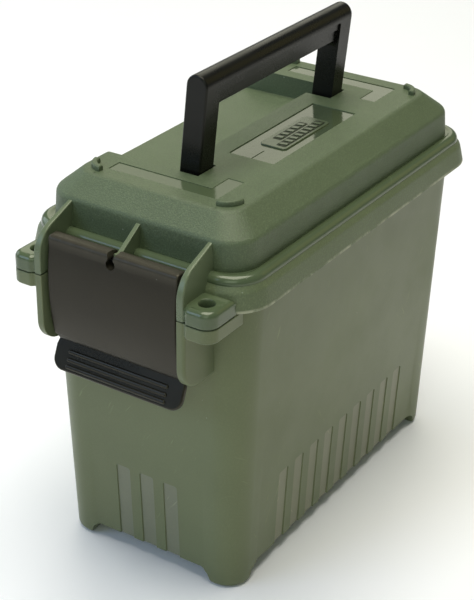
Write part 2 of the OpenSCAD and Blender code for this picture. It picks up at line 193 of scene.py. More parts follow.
def prism(place, outline, t0, t1, r0, r1=None, holes=(), hole_share=0.3, steps=3, bm=None, hold=0.0):
    """An outline extruded from t0 to t1 with rims rounded to r0 and r1, or both to r0. place(u, v, t) gives
    the 3-D point. The rims of holes are rounded hole_share times as much. hold adds one more loop that far
    inside each rounded rim, so that the rim's shading stays narrow."""
    bm = bm or bmesh.new()
    r1 = r0 if r1 is None else r1
    turns = [math.radians(90 * k / steps) for k in range(steps + 1)]
    levels = [(r0 * (1 - math.sin(a)), t0 + r0 * (1 - math.cos(a))) for a in turns] if r0 > 0 else [(0, t0)]
    levels += [(r1 * (1 - math.cos(a)), t1 - r1 * (1 - math.sin(a))) for a in turns] if r1 > 0 else [(0, t1)]
    if hold:
        split = next(k for k in range(1, len(levels)) if levels[k][1] > (t0 + t1) / 2)
        levels[split:split] = [(0, t0 + r0 + hold), (0, t1 - r1 - hold)]
    new, ends = [], ([], [])
    for number, loop in enumerate([outline, *holes]):
        loop = tidy_loop(loop)
        normals = inward(loop)
        share = -hole_share if number else 1.0
        rows = []
        for off, t in levels:
            rows.append([bm.verts.new(place(p[0] + m.x * off * share, p[1] + m.y * off * share, t))
                         for p, m in zip(loop, normals)])
        n = len(loop)
        for a, b in zip(rows, rows[1:]):
            for i in range(n):
                new.append(bm.faces.new((a[i], a[(i + 1) % n], b[(i + 1) % n], b[i])))
        ends[0].append(rows[0])
        ends[1].append(rows[-1])
    for rows in ends:
        if not holes:
            new.append(bm.faces.new(rows[0]))
        else:
            edges = []
            for row in rows:
                edges += [bm.edges.get((row[i], row[(i + 1) % len(row)])) for i in range(len(row))]
            made = bmesh.ops.triangle_fill(bm, edges=edges, use_beauty=True)
            new += [f for f in made["geom"] if isinstance(f, bmesh.types.BMFace)]
    bmesh.ops.recalc_face_normals(bm, faces=new)
    return bm


def on_x(u, v, t):
    """Outline in Y and Z, depth along X."""
    return (t, u, v)


def on_y(u, v, t):
    """Outline in X and Z, depth along Y."""
    return (u, t, v)


def on_z(u, v, t):
    """Outline in X and Y, depth along Z."""
    return (u, v, t)


def mirrored(bm, axis):
    """Adds a mirrored copy of everything in bm."""
    made = bmesh.ops.duplicate(bm, geom=bm.verts[:] + bm.edges[:] + bm.faces[:])["geom"]
    verts = [g for g in made if isinstance(g, bmesh.types.BMVert)]
    for v in verts:
        v.co[axis] = -v.co[axis]
    bmesh.ops.reverse_faces(bm, faces=[g for g in made if isinstance(g, bmesh.types.BMFace)])
    return bm


def merged(*parts):
    """One bmesh that holds all the given ones."""
    out = bmesh.new()
    for part in parts:
        mesh = bpy.data.meshes.new("tmp")
        part.to_mesh(mesh)
        out.from_mesh(mesh)
        bpy.data.meshes.remove(mesh)
    return out


def placed(name, data):
    """A new object of the scene with this mesh, lamp or camera."""
    obj = bpy.data.objects.new(name, data)
    bpy.context.scene.collection.objects.link(obj)
    return obj


def mesh_object(name, bm):
    mesh = bpy.data.meshes.new(name)
    bm.to_mesh(mesh)
    return placed(name, mesh)


def minus(base, cutter):
    """The closed bmesh base without the closed bmesh cutter, as a new bmesh."""
    a, b = mesh_object("base", base), mesh_object("cutter", cutter)
    mod = a.modifiers.new("cut", "BOOLEAN")
    mod.operation, mod.solver, mod.object = "DIFFERENCE", "EXACT", b
    bpy.context.view_layer.update()
    mesh = bpy.data.meshes.new_from_object(a.evaluated_get(bpy.context.evaluated_depsgraph_get()))
    out = bmesh.new()
    out.from_mesh(mesh)
    for obj in (a, b):
        bpy.data.objects.remove(obj)
    bmesh.ops.remove_doubles(out, verts=out.verts, dist=0.002)
    return out


def soften(bm, width, where, angle, segments):
    """Bevels the edges that turn more than the angle and whose middle passes the where test."""
    edges = []
    for e in bm.edges:
        if len(e.link_faces) == 2 and e.calc_face_angle(0) > math.radians(angle):
            m = (e.verts[0].co + e.verts[1].co) / 2
            if where(m):
                edges.append(e)
    if edges:
        bmesh.ops.bevel(bm, geom=edges, offset=width, offset_type="OFFSET", segments=segments, profile=0.5,
                        affect="EDGES", clamp_overlap=True, loop_slide=True)
    return bm


def piece(name, bm, body, replaces, materials, pick=None, rest=None):
    """Makes the object from millimetres about the box's middle, first moved by the matrix rest.
    pick(centre, normal, index) gives a face's material number, where index is the one it already has."""
    for f in bm.faces:
        f.smooth = True
        if pick:
            f.material_index = pick(f.calc_center_median(), f.normal, f.material_index)
    for e in bm.edges:
        e.smooth = not (len(e.link_faces) == 2 and e.calc_face_angle(0) > SHARP_EDGE)
    place = Matrix.Scale(MM, 4) @ Matrix.Translation((0, MID_Y, 0)) @ (rest or Matrix.Identity(4))
    bmesh.ops.transform(bm, matrix=place, verts=bm.verts)
    obj = mesh_object(name, bm)
    bm.free()
    for m in materials:
        obj.data.materials.append(m)
    weighted = obj.modifiers.new("normals", "WEIGHTED_NORMAL")
    weighted.keep_sharp, weighted.weight = True, 80
    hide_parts(*replaces)
    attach(obj, body)


# ---------------------------------------------------------------- materials
class Nodes:
    """A short way to build a node tree."""

    def __init__(self, name):
        self.material = bpy.data.materials.new(name)
        self.material.use_nodes = True
        self.tree = self.material.node_tree
        self.bsdf = self.tree.nodes["Principled BSDF"]
        self.place = self.add("ShaderNodeTexCoord").outputs["Object"]

    def add(self, kind, **values):
        node = self.tree.nodes.new(kind)
        for key, value in values.items():
            setattr(node, key, value)
        return node

    def link(self, a, b):
        self.tree.links.new(a, b)

    def stretched(self, scale, turn=(0, 0, 0)):
        """Coordinates that run scale times as fast along three axes, which are turned first."""
        node = self.add("ShaderNodeMapping", vector_type="TEXTURE")
        node.inputs["Scale"].default_value = [1 / v for v in scale]
        node.inputs["Rotation"].default_value = turn
        self.link(self.place, node.inputs["Vector"])
        return node.outputs["Vector"]

    def noise(self, scale, detail, rough=0.5, vector=None):
        node = self.add("ShaderNodeTexNoise")
        node.inputs["Scale"].default_value = scale
        node.inputs["Detail"].default_value = detail
        node.inputs["Roughness"].default_value = rough
        self.link(vector or self.place, node.inputs["Vector"])
        return node.outputs["Fac"]

    def band(self, value, a, b, lo=0.0, hi=1.0):
        """Maps value from the range a to b onto lo to hi, clamped."""
        node = self.add("ShaderNodeMapRange")
        for key, v in zip(("From Min", "From Max", "To Min", "To Max"), (a, b, lo, hi)):
            node.inputs[key].default_value = v
        self.link(value, node.inputs["Value"])
        return node.outputs["Result"]

    def math(self, operation, a, b):
        node = self.add("ShaderNodeMath", operation=operation)
        for socket, v in zip(node.inputs, (a, b)):
            if isinstance(v, (int, float)):
                socket.default_value = v
            else:
                self.link(v, socket)
        return node.outputs[0]

    def mix(self, factor, a, b):
        """Colour a turning into colour b with the factor."""
        node = self.add("ShaderNodeMix", data_type="RGBA", blend_type="MIX")
        for socket, v in ((node.inputs["Factor"], factor), (node.inputs[6], a), (node.inputs[7], b)):
            if isinstance(v, (int, float)):
                socket.default_value = v
            elif isinstance(v, tuple):
                socket.default_value = (*v, 1)
            else:
                self.link(v, socket)
        return node.outputs[2]

    def height(self):
        """Height above the ground, in metres."""
        axis = self.add("ShaderNodeSeparateXYZ")
        self.link(self.place, axis.inputs[0])
        return axis.outputs["Z"]

    def relief(self, height, distance, strength):
        """Bumps the surface by the height times the distance, which is in metres."""
        bump = self.add("ShaderNodeBump")
        bump.inputs["Strength"].default_value = strength
        bump.inputs["Distance"].default_value = distance
        self.link(height, bump.inputs["Height"])
        self.link(bump.outputs["Normal"], self.bsdf.inputs["Normal"])


def shade(colour, k):
    """The colour made k times as bright."""
    return tuple(min(1, c * k) for c in colour)


def plastic(name, colour, rough, grain=0.0, grain_size=0.55, spots=0.25, scratch=0.3, specular=0.5,
            tint=(1.0, 1.0, 0.88), worn_at=None, dust_and_sheen=()):
    """Moulded plastic: soft colour drift, fine grain, faint scuffs, rare pale dust specks. The grain's size
    is in millimetres, tint colours the reflections, worn_at is the height of a rubbed edge, and
    dust_and_sheen holds (from, to, colour) for bands that turn to that colour between two heights:
    dust mixed with painted highlight and painted reflection."""
    n = Nodes(name)
    drift = n.band(n.noise(11, 3, 0.6), 0.36, 0.64)
    base = n.mix(drift, shade(colour, 0.93), shade(colour, 1.06))
    fine = n.noise(1000 / grain_size, 3, 0.65)
    speckle = n.band(fine, 0.46, 0.66)
    base = n.mix(n.math("MULTIPLY", speckle, min(0.5, 0.05 + 1.6 * grain)), base, shade(colour, 1.9))
    # faint scuffs, long and thin in two directions
    scuff_a = n.band(n.noise(1, 2, 0.5, n.stretched((700, 34, 60), (0.2, 0.35, 0.75))), 0.70, 0.76)
    scuff_b = n.band(n.noise(1, 2, 0.5, n.stretched((40, 800, 50), (0.5, 0.2, 0.8))), 0.71, 0.77)
    patch = n.band(n.noise(16, 2), 0.46, 0.62)
    scuffs = n.math("MULTIPLY", n.math("MAXIMUM", scuff_a, scuff_b), n.math("MULTIPLY", patch, scratch))
    base = n.mix(scuffs, base, shade(colour, 2.1))
    # pale dust specks
    cells = n.add("ShaderNodeTexVoronoi", feature="F1")
    cells.inputs["Scale"].default_value = 95
    n.link(n.place, cells.inputs["Vector"])
    dust = n.math("MULTIPLY", n.band(cells.outputs["Distance"], 0.020, 0.035, 1, 0),
                  n.band(n.noise(23, 1), 0.55, 0.62, 0, spots))
    base = n.mix(dust, base, (0.55, 0.56, 0.48))
    if worn_at:                        # a ragged pale line
        z = n.height()
        ragged = n.band(n.noise(70, 4, 0.7), 0.42, 0.62)
        line = n.math("MULTIPLY", n.band(z, worn_at + 0.0010, worn_at + 0.0017, 1, 0),
                      n.band(z, worn_at - 0.0012, worn_at - 0.0006))
        line = n.math("MULTIPLY", line, ragged)
        base = n.mix(n.math("MULTIPLY", line, 0.8), base, (0.42, 0.42, 0.30))
    # bands of colour between two heights: partly dust, partly painted highlight and painted reflection
    for z0, z1, colour_there in dust_and_sheen:
        z = n.height()
        blotch = n.band(n.noise(120, 3, 0.6), 0.25, 0.75, 0.6, 1.0)
        base = n.mix(n.math("MULTIPLY", n.band(z, z0, z1), blotch), base, colour_there)
    n.link(base, n.bsdf.inputs["Base Color"])
    smudge = n.band(n.noise(26, 3, 0.6), 0.35, 0.68, -0.05, 0.06)
    r = n.math("ADD", n.math("ADD", smudge, rough), n.math("MULTIPLY", scuffs, 0.25))
    r = n.math("ADD", r, n.math("MULTIPLY", speckle, 0.08 if grain else 0.02))
    n.link(r, n.bsdf.inputs["Roughness"])
    n.bsdf.inputs["Specular IOR Level"].default_value = specular
    n.bsdf.inputs["Specular Tint"].default_value = (*tint, 1)
    soft = n.math("MULTIPLY", n.noise(60, 2), 0.10)              # slow waviness of a moulded wall
    n.relief(n.math("ADD", n.math("MULTIPLY", fine, grain if grain else 0.012), soft), 0.001, 1.0)
    return n.material


def steel(name, colour=(0.55, 0.55, 0.56)):
    """Drawn steel, with fine lines along X."""
    n = Nodes(name)
    line = n.noise(1, 2, 0.6, n.stretched((60, 2600, 2600)))
    drawn = n.mix(n.band(line, 0.3, 0.7), shade(colour, 0.8), shade(colour, 1.12))
    n.link(drawn, n.bsdf.inputs["Base Color"])
    n.link(n.band(line, 0.3, 0.7, 0.24, 0.42), n.bsdf.inputs["Roughness"])
    n.bsdf.inputs["Metallic"].default_value = 1.0
    n.relief(line, 0.00005, 0.3)
    return n.material


LID_GREEN = (0.086, 0.115, 0.058)
TUB_GREEN = (0.128, 0.150, 0.080)
SKIRT_GREEN = (0.106, 0.132, 0.066)
# the cheeks and the rib get a lighter copy of the lid's green: painted light for their front and top faces
CHEEK_LIT_GREEN = (0.116, 0.145, 0.078)
# the flutes' lighter, greyer greens are painted reflection of the pale floor, a brighter copy for the sides
# and a dimmer one for the ends
SIDE_FLUTE_SHEEN_GREEN = (0.192, 0.194, 0.126)
END_FLUTE_SHEEN_GREEN = (0.160, 0.170, 0.112)
LATCH_BLACK = (0.009, 0.008, 0.005)
HANDLE_BLACK = (0.005, 0.005, 0.004)
# paler bands on the latch: a painted highlight with some dust on top of the roll, and a painted reflection
# of the floor towards the tab
latch_dust_and_sheen = [((LATCH_Z - 1.5) * MM, (LATCH_Z + 3) * MM, (0.040, 0.036, 0.025)),      # on top of the roll
              ((PART - 12) * MM, (PART - 32) * MM, (0.021, 0.018, 0.012))]            # towards the tab
lid_grain = plastic("lid_grained_green", shade(LID_GREEN, 0.93), 0.50, grain=0.26, grain_size=0.75,
                    spots=0.5)
badge_satin = plastic("badge_satin_green", shade(LID_GREEN, 0.80), 0.30, spots=0.1, grain=0.01)
# darker green of the badge's fields: painted shade for the first row's letters, a darker band for the second
badge_dark = plastic("badge_dark_green", shade(LID_GREEN, 0.20), 0.45, spots=0.1, specular=0.15)
lid_gloss = plastic("lid_polished_green", shade(LID_GREEN, 0.62), 0.10, spots=0.1, scratch=0.15)
lid_satin = plastic("lid_satin_green", shade(LID_GREEN, 0.80), 0.13, spots=0.1, scratch=0.3, specular=0.24)
# smooth satin cheeks whose lighter colour is painted light
cheek_lit_satin = plastic("cheek_satin_lit_green", CHEEK_LIT_GREEN, 0.32, spots=0.2, scratch=0.3, grain=0.02)
bead_gloss = plastic("bead_semigloss_green", shade(LID_GREEN, 0.92), 0.16, spots=0.2, scratch=0.4)
skirt_satin = plastic("skirt_satin_green", SKIRT_GREEN, 0.42, grain=0.17, grain_size=0.85, spots=0.4,
                      worn_at=PART * MM)
tub_satin = plastic("tub_satin_green", TUB_GREEN, 0.36, spots=0.35, scratch=0.5, grain=0.02, grain_size=0.9,
                    specular=0.36, tint=(1.0, 0.95, 0.66))
# flutes: painted sheen in their base colour, with more scuffs than the walls
side_flute_sheen = plastic("side_flute_scuffed_sheen_green", SIDE_FLUTE_SHEEN_GREEN, 0.40, scratch=0.8, grain=0.02, grain_size=0.9)
end_flute_sheen = plastic("end_flute_satin_sheen_green", END_FLUTE_SHEEN_GREEN, 0.40, scratch=0.8, grain=0.02, grain_size=0.9)
latch_black = plastic("latch_satin_black", LATCH_BLACK, 0.34, grain=0.06, grain_size=0.7, specular=0.34,
                      tint=(1.0, 0.90, 0.68), dust_and_sheen=latch_dust_and_sheen)
tab_black = plastic("tab_gloss_black", LATCH_BLACK, 0.28, grain=0.003, spots=0.2, specular=0.45,
                    tint=(1.0, 0.93, 0.70))
handle_black = plastic("handle_satin_black", HANDLE_BLACK, 0.28, grain=0.008, spots=0.3, scratch=0.5,
                       specular=0.26, tint=(1.0, 0.98, 0.86))
rubber = plastic("seal_matt_rubber", (0.018, 0.018, 0.018), 0.78, grain=0.05, grain_size=0.8, specular=0.3)
pin_steel = steel("pin_drawn_steel")
pin_dark = steel("pin_blackened_steel", (0.05, 0.05, 0.052))


# ---------------------------------------------------------------- tub
def ease(t):
    """A smooth step from 0 to 1."""
    t = max(0.0, min(1.0, t))
    return t * t * (3 - 2 * t)


def panel_push(z):
    """The walls between the corner columns stand back a little, less and less towards mid height."""
    return PANEL_DEPTH * (1 - ease((z - FLOOR_Z) / (PANEL_TOP - FLOOR_Z)))


def end_wall(z):
    """Distance of the tub's end walls from the middle at the height z, between the corner columns."""
    return TUB_L / 2 - DRAFT * (PART - z) - panel_push(z)


def side_wall(z):
    return TUB_W / 2 - DRAFT * (PART - z) - panel_push(z)


def tub_ring(z, inset=0.0, panels=True):
    lean = DRAFT * (PART - z) + inset
    loop = rounded(TUB_W - 2 * lean, TUB_L - 2 * lean, max(3, TUB_R - lean), TUB_ARC,
                   PANEL_X, PANEL_Y, panel_push(z) if panels else 0)
    return [(x, y, z) for x, y in loop]


def skirt_ring(inset, z, r=None, n=LID_ARC):
    r = SKIRT_R - inset if r is None else r
    loop = rounded(SKIRT_W - 2 * inset, SKIRT_L - 2 * inset, r, n, PANEL_X, PANEL_Y)
    return [(x, y, z) for x, y in loop]


def flute(place):
    """Cutter for one flute, deeper towards its lower end. place(u, z, depth) follows the wall."""
    outer = arched(4.7, -2, FLUTE_TOP + 0.4, 1.6)
    inner = arched(4.0, -2, FLUTE_TOP - 0.4, 1.2)
    return loft([[place(u, z, -0.9) for u, z in outer],
                 [place(u, z, 0.5 + (FLUTE_TOP - z) * 0.008) for u, z in inner]])


def flutes():
    cut = []
    for sign in (-1, 1):
        for i in range(END_FLUTES):
            u0 = (i - END_FLUTES // 2) * END_PITCH
            cut.append(flute(lambda u, z, d: (u0 + u, sign * (end_wall(z) - d), z)))
        for i in range(SIDE_FLUTES):
            u0 = (i - SIDE_FLUTES // 2) * SIDE_PITCH
            cut.append(flute(lambda u, z, d: (sign * (side_wall(z) - d), u0 + u, z)))
    return merged(*cut)


def foot_gap(reach, place, t):
    """Cutter for the gap between two feet, about 2 * reach wide, from -t to t."""
    half = [(reach + 4.4, -2), (reach + 4.0, 0), (reach + 2.8, 1.3), (reach + 0.6, 6.4),
            (reach - 3, FLOOR_Z)]
    half = filleted(half, [0, 0.8, 1.2, 2.0, 0], 4)
    return prism(place, half + [(-x, z) for x, z in reversed(half)], -t, t, 0)


def painted(bm, number):
    """Gives every face of bm one material number."""
    for f in bm.faces:
        f.material_index = number
    return bm


def ear(side, back, z0, z1, low_r, top_r, corner):
    """A padlock ear beside a latch cheek: side 1 is the right one, -1 the narrower left one."""
    reach, hole_x, hole_y = (57.6, 48.9, FRONT - 6.3) if side > 0 else (55.4, 46.6, FRONT - 5.8)
    inner, step, front = CHEEK_IN + 0.4, CHEEK_OUT + 0.4, FRONT - 16.1
    outline = filleted([(inner, back), (inner, FRONT - 14.6), (step, FRONT - 14.6), (step + 1.6, front),
                        (reach, front), (reach, back)], [0, 0, 1.2, 2.0, corner, 0], 10, True)
    bm = prism(on_z, outline, z0, z1, low_r, top_r, [arc(hole_x, hole_y, 3.5, 0, 345, 23)], 0.28, 6)
    if side < 0:
        bmesh.ops.transform(bm, matrix=Matrix.Scale(-1, 4, (1, 0, 0)), verts=bm.verts)
        bmesh.ops.reverse_faces(bm, faces=bm.faces)
    return bm


def gusset():
    """Plate below each tub ear, its outer rim well rounded and its lower end turned in."""
    turn_y, turn_z = FRONT - 3, PART - 25.5
    side = [(FRONT + 10, PART - 0.6), (FRONT - 15, PART - 0.6), *arc(turn_y, turn_z, 12, 180, 270, 12),
            (FRONT + 10, turn_z - 12)]
    return prism(on_x, side, CHEEK_IN, CHEEK_IN + 4.4, 0.5, 1.6, steps=5)


def lug(x0, x1, web):
    """A hinge knuckle and the web that carries it."""
    bm = prism(on_x, arc(HINGE_Y, HINGE_Z, 4.5, 0, 350, 35), x0, x1, 0.5)
    return prism(on_x, web, x0 + 0.01, x1 - 0.01, 0.3, bm=bm)


def tub_shell():
    """The walls with feet, rim and flutes: up the outside, over the rim's tongue and down the inside."""
    foot = ((0, 3.2), (0.25, 2.1), (0.8, 1.1), (1.7, 0.4), (2.8, 0.05), (5, 0), (FLOOR_Z, 0))
    wall = (20, 32, 44, 56, 68, 80, 92, PANEL_TOP, 130)
    rim = ((5.0, -2.4), (4.7, -2.0), (4.7, 6.0), (5.0, 6.3), (6.75, 6.3), (6.8, 7.5), (7.0, 7.7),
           (7.7, 7.7), (7.9, 7.5), (7.95, 6.3))
    inside = ((PART + 6.3, WALL - 0.4), (PART + 6.0, WALL), (16, WALL), (13.2, 3.6), (12, 4.8), (11.5, 6.4))
    rings = [tub_ring(z, inset) for z, inset in foot] + [tub_ring(z) for z in wall]
    rings.append(tub_ring(PART - 2.6, 0, False))
    rings += [skirt_ring(inset, PART + up, n=TUB_ARC) for inset, up in rim]
    rings += [tub_ring(z, inset, False) for z, inset in inside]
    body = loft(rings)
    body = minus(body, foot_gap(35.0, on_y, 130))
    body = minus(body, foot_gap(85.6, on_x, 90))
    under = [[(x, y, z) for x, y in rounded(TUB_W - 30, TUB_L - 30, 8, 5)] for z in (-1, FLOOR_Z)]
    body = minus(body, loft(under))
    soften(body, 0.5, lambda m: m.z < FLOOR_Z + 0.1 and abs(m.x) < 60, 30, 2)
    return minus(body, flutes())


def catch_bar():
    """The bar between the gussets, with the ramp that the latch snaps over."""
    side = [(FRONT + 10, PART - 13), (FRONT + 2.5, PART - 15), (FRONT - 2.4, PART - 22.5),
            (FRONT - 1.2, PART - 31.7), (FRONT + 10, PART - 34)]
    return prism(on_x, side, -CHEEK_IN, CHEEK_IN, 0)


def tub_lugs():
    web = [(TUB_L / 2 - 2, HINGE_Z - 0.6), (HINGE_Y, HINGE_Z - 0.6), (HINGE_Y + 3.2, HINGE_Z - 3.2),
           (TUB_L / 2 - 2, HINGE_Z - 17)]
    return mirrored(merged(lug(16.6, 23.4, web), lug(36.6, 43.4, web)), 0)


def tub_material(c, n, given):
    """1 in the flutes of the sides, 2 in the flutes of the ends, 0 elsewhere."""
    if 4 < c.z < FLUTE_TOP + 0.4 and n.z < 0.3:
        if abs(n.y) > 0.9 and abs(c.x) < 19 and 0.25 < end_wall(c.z) - abs(c.y) < 2.2:
            return 2
        if abs(n.x) > 0.9 and abs(c.y) < 64.5 and 0.25 < side_wall(c.z) - abs(c.x) < 2.2:
            return 1
    return 0


def make_tub():
    ears = [ear(s, -105.0, PART - 7.7, PART - 0.6, 1.2, 0.5, 8.5) for s in (1, -1)]
    whole = merged(tub_shell(), mirrored(gusset(), 0), *ears, catch_bar(), tub_lugs())
    piece("tub_visual", whole, "tub", ["tub"], [tub_satin, side_flute_sheen, end_flute_sheen],
          tub_material)


# ---------------------------------------------------------------- lid
def lid_profile():
    """The lid's outside from the skirt's lower edge to the flat top, as (inset, height, corner radius)."""
    rows = [(0.5, PART, 20.5), (0.12, PART + 0.12, 20.9), (0, PART + 0.5, 21.0)]
    rows += [(i, z, SKIRT_R - i) for i, z in
             filleted([(0, PART + 0.5), (2.05, PART + 9.2), (3.9, PART + 12.0)], [0, 5.0, 0], 7)[1:]]
    bead_i, bead_z, r = 7.4, PART + 12.4, 3.6
    rows += [(bead_i - r * math.cos(math.radians(a)), bead_z + r * math.sin(math.radians(a)),
              SKIRT_R - bead_i + r * math.cos(math.radians(a))) for a in range(-4, 131, 9)]
    up = filleted([(9.55, PART + 15.0), (9.3, PART + 15.6), (10.0, PART + 29.2), (21.2, LID_TOP),
                   (30, LID_TOP)], [0, 0.6, 4.0, 4.0, 0], 6)
    for i, z in up[1:-1]:
        t = max(0.0, min(1.0, (i - 10.0) / 11.2))
        rows.append((i, z, 15.3 - 5.3 * t))
    return rows


def lid_cavity():
    """The lid's inside with the seal's channel."""
    land = PART + 7.8
    rows = [(4.3, PART - 3), (4.3, land), (5.25, land), (5.25, land + 3.8), (9.45, land + 3.8),
            (9.45, land), (12.9, land), (12.9, PART + 28, 12.3), (23.4, LID_TOP - WALL, 8.5)]
    return loft([skirt_ring(*row) for row in rows])


def box_bm(x0, x1, y0, y1, z0, z1):
    bm = bmesh.new()
    bmesh.ops.create_cube(bm, size=1)
    for v in bm.verts:
        v.co = Vector((x0 if v.co.x < 0 else x1, y0 if v.co.y < 0 else y1, z0 if v.co.z < 0 else z1))
    return bm


def well_cutter():
    """The handle well, open to the left, rounded where floor and walls meet."""
    lip = [(-52.2, WELL_Z), *arc(-52.2, WELL_Z - 4, 4, 90, 180, 6)[1:], (-80, WELL_Z - 4.2),
           (-80, LID_TOP + 20), (WELL_WALL, LID_TOP + 20), (WELL_WALL, WELL_Z)]
    bm = prism(on_y, lip, -WELL_END, WELL_END, 0)
    floor = [e for e in bm.edges if all(abs(v.co.z - WELL_Z) < 0.01 and v.co.x > -53 for v in e.verts)]
    corner = [e for e in bm.edges if all(abs(v.co.x - WELL_WALL) < 0.01 for v in e.verts)
              and abs(e.verts[0].co.z - e.verts[1].co.z) > 5]
    bmesh.ops.bevel(bm, geom=list(set(floor + corner)), offset=0.9, segments=3, profile=0.5, affect="EDGES")
    return bm


def at_both_ends(x0, x1, near, far, z0, z1):
    """Two boxes, near to far from the middle along Y: the one at the front first."""
    return [box_bm(x0, x1, *sorted((s * near, s * far)), z0, z1) for s in (-1, 1)]


def on_well_edge(m):
    """True on the lid's top edge around the well and on the edges of the well's end walls."""
    if not (m.z > WELL_Z - 4.5 and m.x < 8.2 and abs(m.y) < WELL_END + 0.3):
        return False
    upright = abs(abs(m.y) - WELL_END) < 0.05 and m.x < WELL_WALL + 0.1 and m.z > WELL_Z + 0.9
    return m.z > LID_TOP - 0.05 or upright


def lid_walls():
    """The shell with its cavity, the well with the notches for the legs, and the recesses in the top."""
    above = LID_TOP + 9
    cavity = minus(lid_cavity(), box_bm(-80, WELL_WALL + WALL, -WELL_END - WALL, WELL_END + WALL,
                                        WELL_Z - WALL, above))
    for box in at_both_ends(-6, 11, NOTCH - WALL, WELL_END + WALL, WELL_Z - WALL, above):
        cavity = minus(cavity, box)
    shell = minus(loft([skirt_ring(*row) for row in lid_profile()]), cavity)
    shell = minus(shell, well_cutter())
    for box in at_both_ends(-9, 8, NOTCH, WELL_END, WELL_Z, above):
        shell = minus(shell, box)
    soften(shell, 0.7, on_well_edge, 30, 3)

    above = LID_TOP + 5
    for band, corner in zip(at_both_ends(-32, 29.5, 76.0, 84.6, LID_TOP - END_RECESS, above),
                            at_both_ends(21, 29.5, 62.0, 78.0, LID_TOP - END_RECESS, above)):
        shell = minus(minus(shell, band), corner)
    shell = minus(shell, box_bm(4.3, 29.6, -36.4, 42.0, LID_TOP - RECESS, above))
    shell = minus(shell, box_bm(16.3, 17.0, -36.0, -24.5, LID_TOP - RECESS - 0.4, above))
    return soften(shell, 0.3, lambda m: abs(m.z - LID_TOP) < 0.02 and m.x > 4 and abs(m.x) < 35, 40, 2)


# the back edge of the cheeks and the rib stays in the shell's wall, clear of the rim and the seal
WALL_EDGE = [(FRONT + 12, PART + 13), (FRONT + 4.7, PART + 13), (FRONT + 4.7, PART + 8.2)]


def lid_cheek():
    """The right cheek: round in front, then a straight slope up to the shell."""
    side = [*WALL_EDGE, (FRONT + 3.6, PART + 8.2), (FRONT + 3.6, PART), (FRONT - 15, PART),
            *arc(FRONT, PART + 8.8, 15, 180, 110, 12)]
    y, z = side[-1]
    side.append((FRONT + 12, z + (FRONT + 12 - y) * math.tan(math.radians(20))))
    bm = prism(on_x, side, CHEEK_IN, CHEEK_OUT, 0.7)
    for v in bm.verts:                                   # the cheek gets thinner towards the top
        if v.co.x > CHEEK_IN + 1:
            v.co.x -= 1.7 * ease((v.co.z - PART - 8) / 26)
    return bm


def lid_rib():
    """The middle rib, which ends in an open hook around the latch's pin."""
    side = [(FRONT + 12, PART + 28.4), (LATCH_Y + 3, LATCH_Z + 3), *arc(LATCH_Y, LATCH_Z, 3.1, 60, 99, 4),
            *arc(LATCH_Y, LATCH_Z, 1.55, 108, -108, 14), *arc(LATCH_Y, LATCH_Z, 3.1, -99, -80, 2),
            (FRONT + 3.4, PART + 6.5), *reversed(WALL_EDGE)]
    return prism(on_x, side, -1.2, 1.2, 0.25)


def lid_knuckle():
    web = [(SKIRT_L / 2 - 2.5, PART + 0.2), (HINGE_Y, PART + 0.2), (HINGE_Y + 2.4, HINGE_Z + 3.7),
           (SKIRT_L / 2 - 2.5, PART + 12)]
    return lug(24.0, 36.0, web)


def stacking_ridges():
    outline = arc(33, 81.2, 9.2, 0, 90, 12) + arc(33, 81.2, 6.2, 90, 0, 12)
    ridge = prism(on_z, outline, LID_TOP - 1, LID_TOP + 2.6, 0.2, 1.0, steps=4)
    return mirrored(mirrored(ridge, 0), 1)


def lid_material(c, n, given):
    """Ears, cheeks and rib keep theirs. 1 and 4 are the recesses, 2 the bead, 3 the skirt and the front."""
    if given:
        return given
    inset = min(SKIRT_W / 2 - abs(c.x), SKIRT_L / 2 - abs(c.y))
    if LID_TOP - 0.6 < c.z < LID_TOP - 0.25 and n.z > 0.98:
        return 4 if c.y < -50 else 1
    if PART + 11.9 < c.z < PART + 16.2 and abs(c.x) < 64 and abs(c.y) < 113 and inset < 14:
        return 2
    if c.z < PART + 12.2 or (c.y < FRONT + 9.4 and abs(c.x) < 60):
        return 3
    return 0


def make_lid():
    ends = mirrored(merged(painted(lid_cheek(), 5), lid_knuckle()), 0)
    ears = [painted(ear(s, FRONT + 3.6, PART, PART + 8.0, 0.35, 3.0, 9.0), 2) for s in (1, -1)]
    whole = merged(lid_walls(), ends, stacking_ridges(), painted(lid_rib(), 5), *ears)
    piece("lid_visual", whole, "lid", ["lid_shell"],
          [lid_grain, lid_gloss, bead_gloss, skirt_satin, lid_satin, cheek_lit_satin], lid_material)


# ---------------------------------------------------------------- badge
def slanted_bar(cx, cy, reach, width, top):
    """A raised bar along X, reach to either side of its middle, its ends shifted against each other."""
    slant, half = 0.4, width / 2
    outline = [(cx - reach, cy - half - slant), (cx - reach, cy + half - slant),
               (cx + reach, cy + half + slant), (cx + reach, cy - half + slant)]
    return prism(on_z, outline, top, top + 0.4, 0, 0.12, steps=1)


def make_badge():
    x0, x1 = badge_lo.x / MM, badge_hi.x / MM
    y0, y1 = badge_lo.y / MM - MID_Y, badge_hi.y / MM - MID_Y
    cy, top = (y0 + y1) / 2, LID_TOP + 0.2
    plate = rounded(x1 - x0, y1 - y0, 2.4, 6, cx=(x0 + x1) / 2, cy=cy)
    parts = [prism(on_z, plate, LID_TOP - 0.8, top, 0, 0.4)]
    # two dark fields, each with a row of plain slanted bars; the first field's dark is painted shade in
    # place of the shadows around raised letters, the second is a darker band
    for cx, w, l, count, bar_w in ((x0 + 4.7, 5.0, 26.0, 5, 2.6), (x0 + 10.9, 5.4, 38.5, 8, 2.3)):
        field = prism(on_z, rounded(w, l, 0.7, 3, cx=cx, cy=cy), top - 0.2, top + 0.1, 0, 0.05, steps=1)
        parts.append(painted(field, 1))
        for i in range(count):
            y = cy + (i - (count - 1) / 2) * (l - 1.4) / count
            parts.append(slanted_bar(cx, y, w / 2 - 0.7, bar_w, top))
    piece("badge_visual", merged(*parts), "lid", ["badge_plate"], [badge_satin, badge_dark])


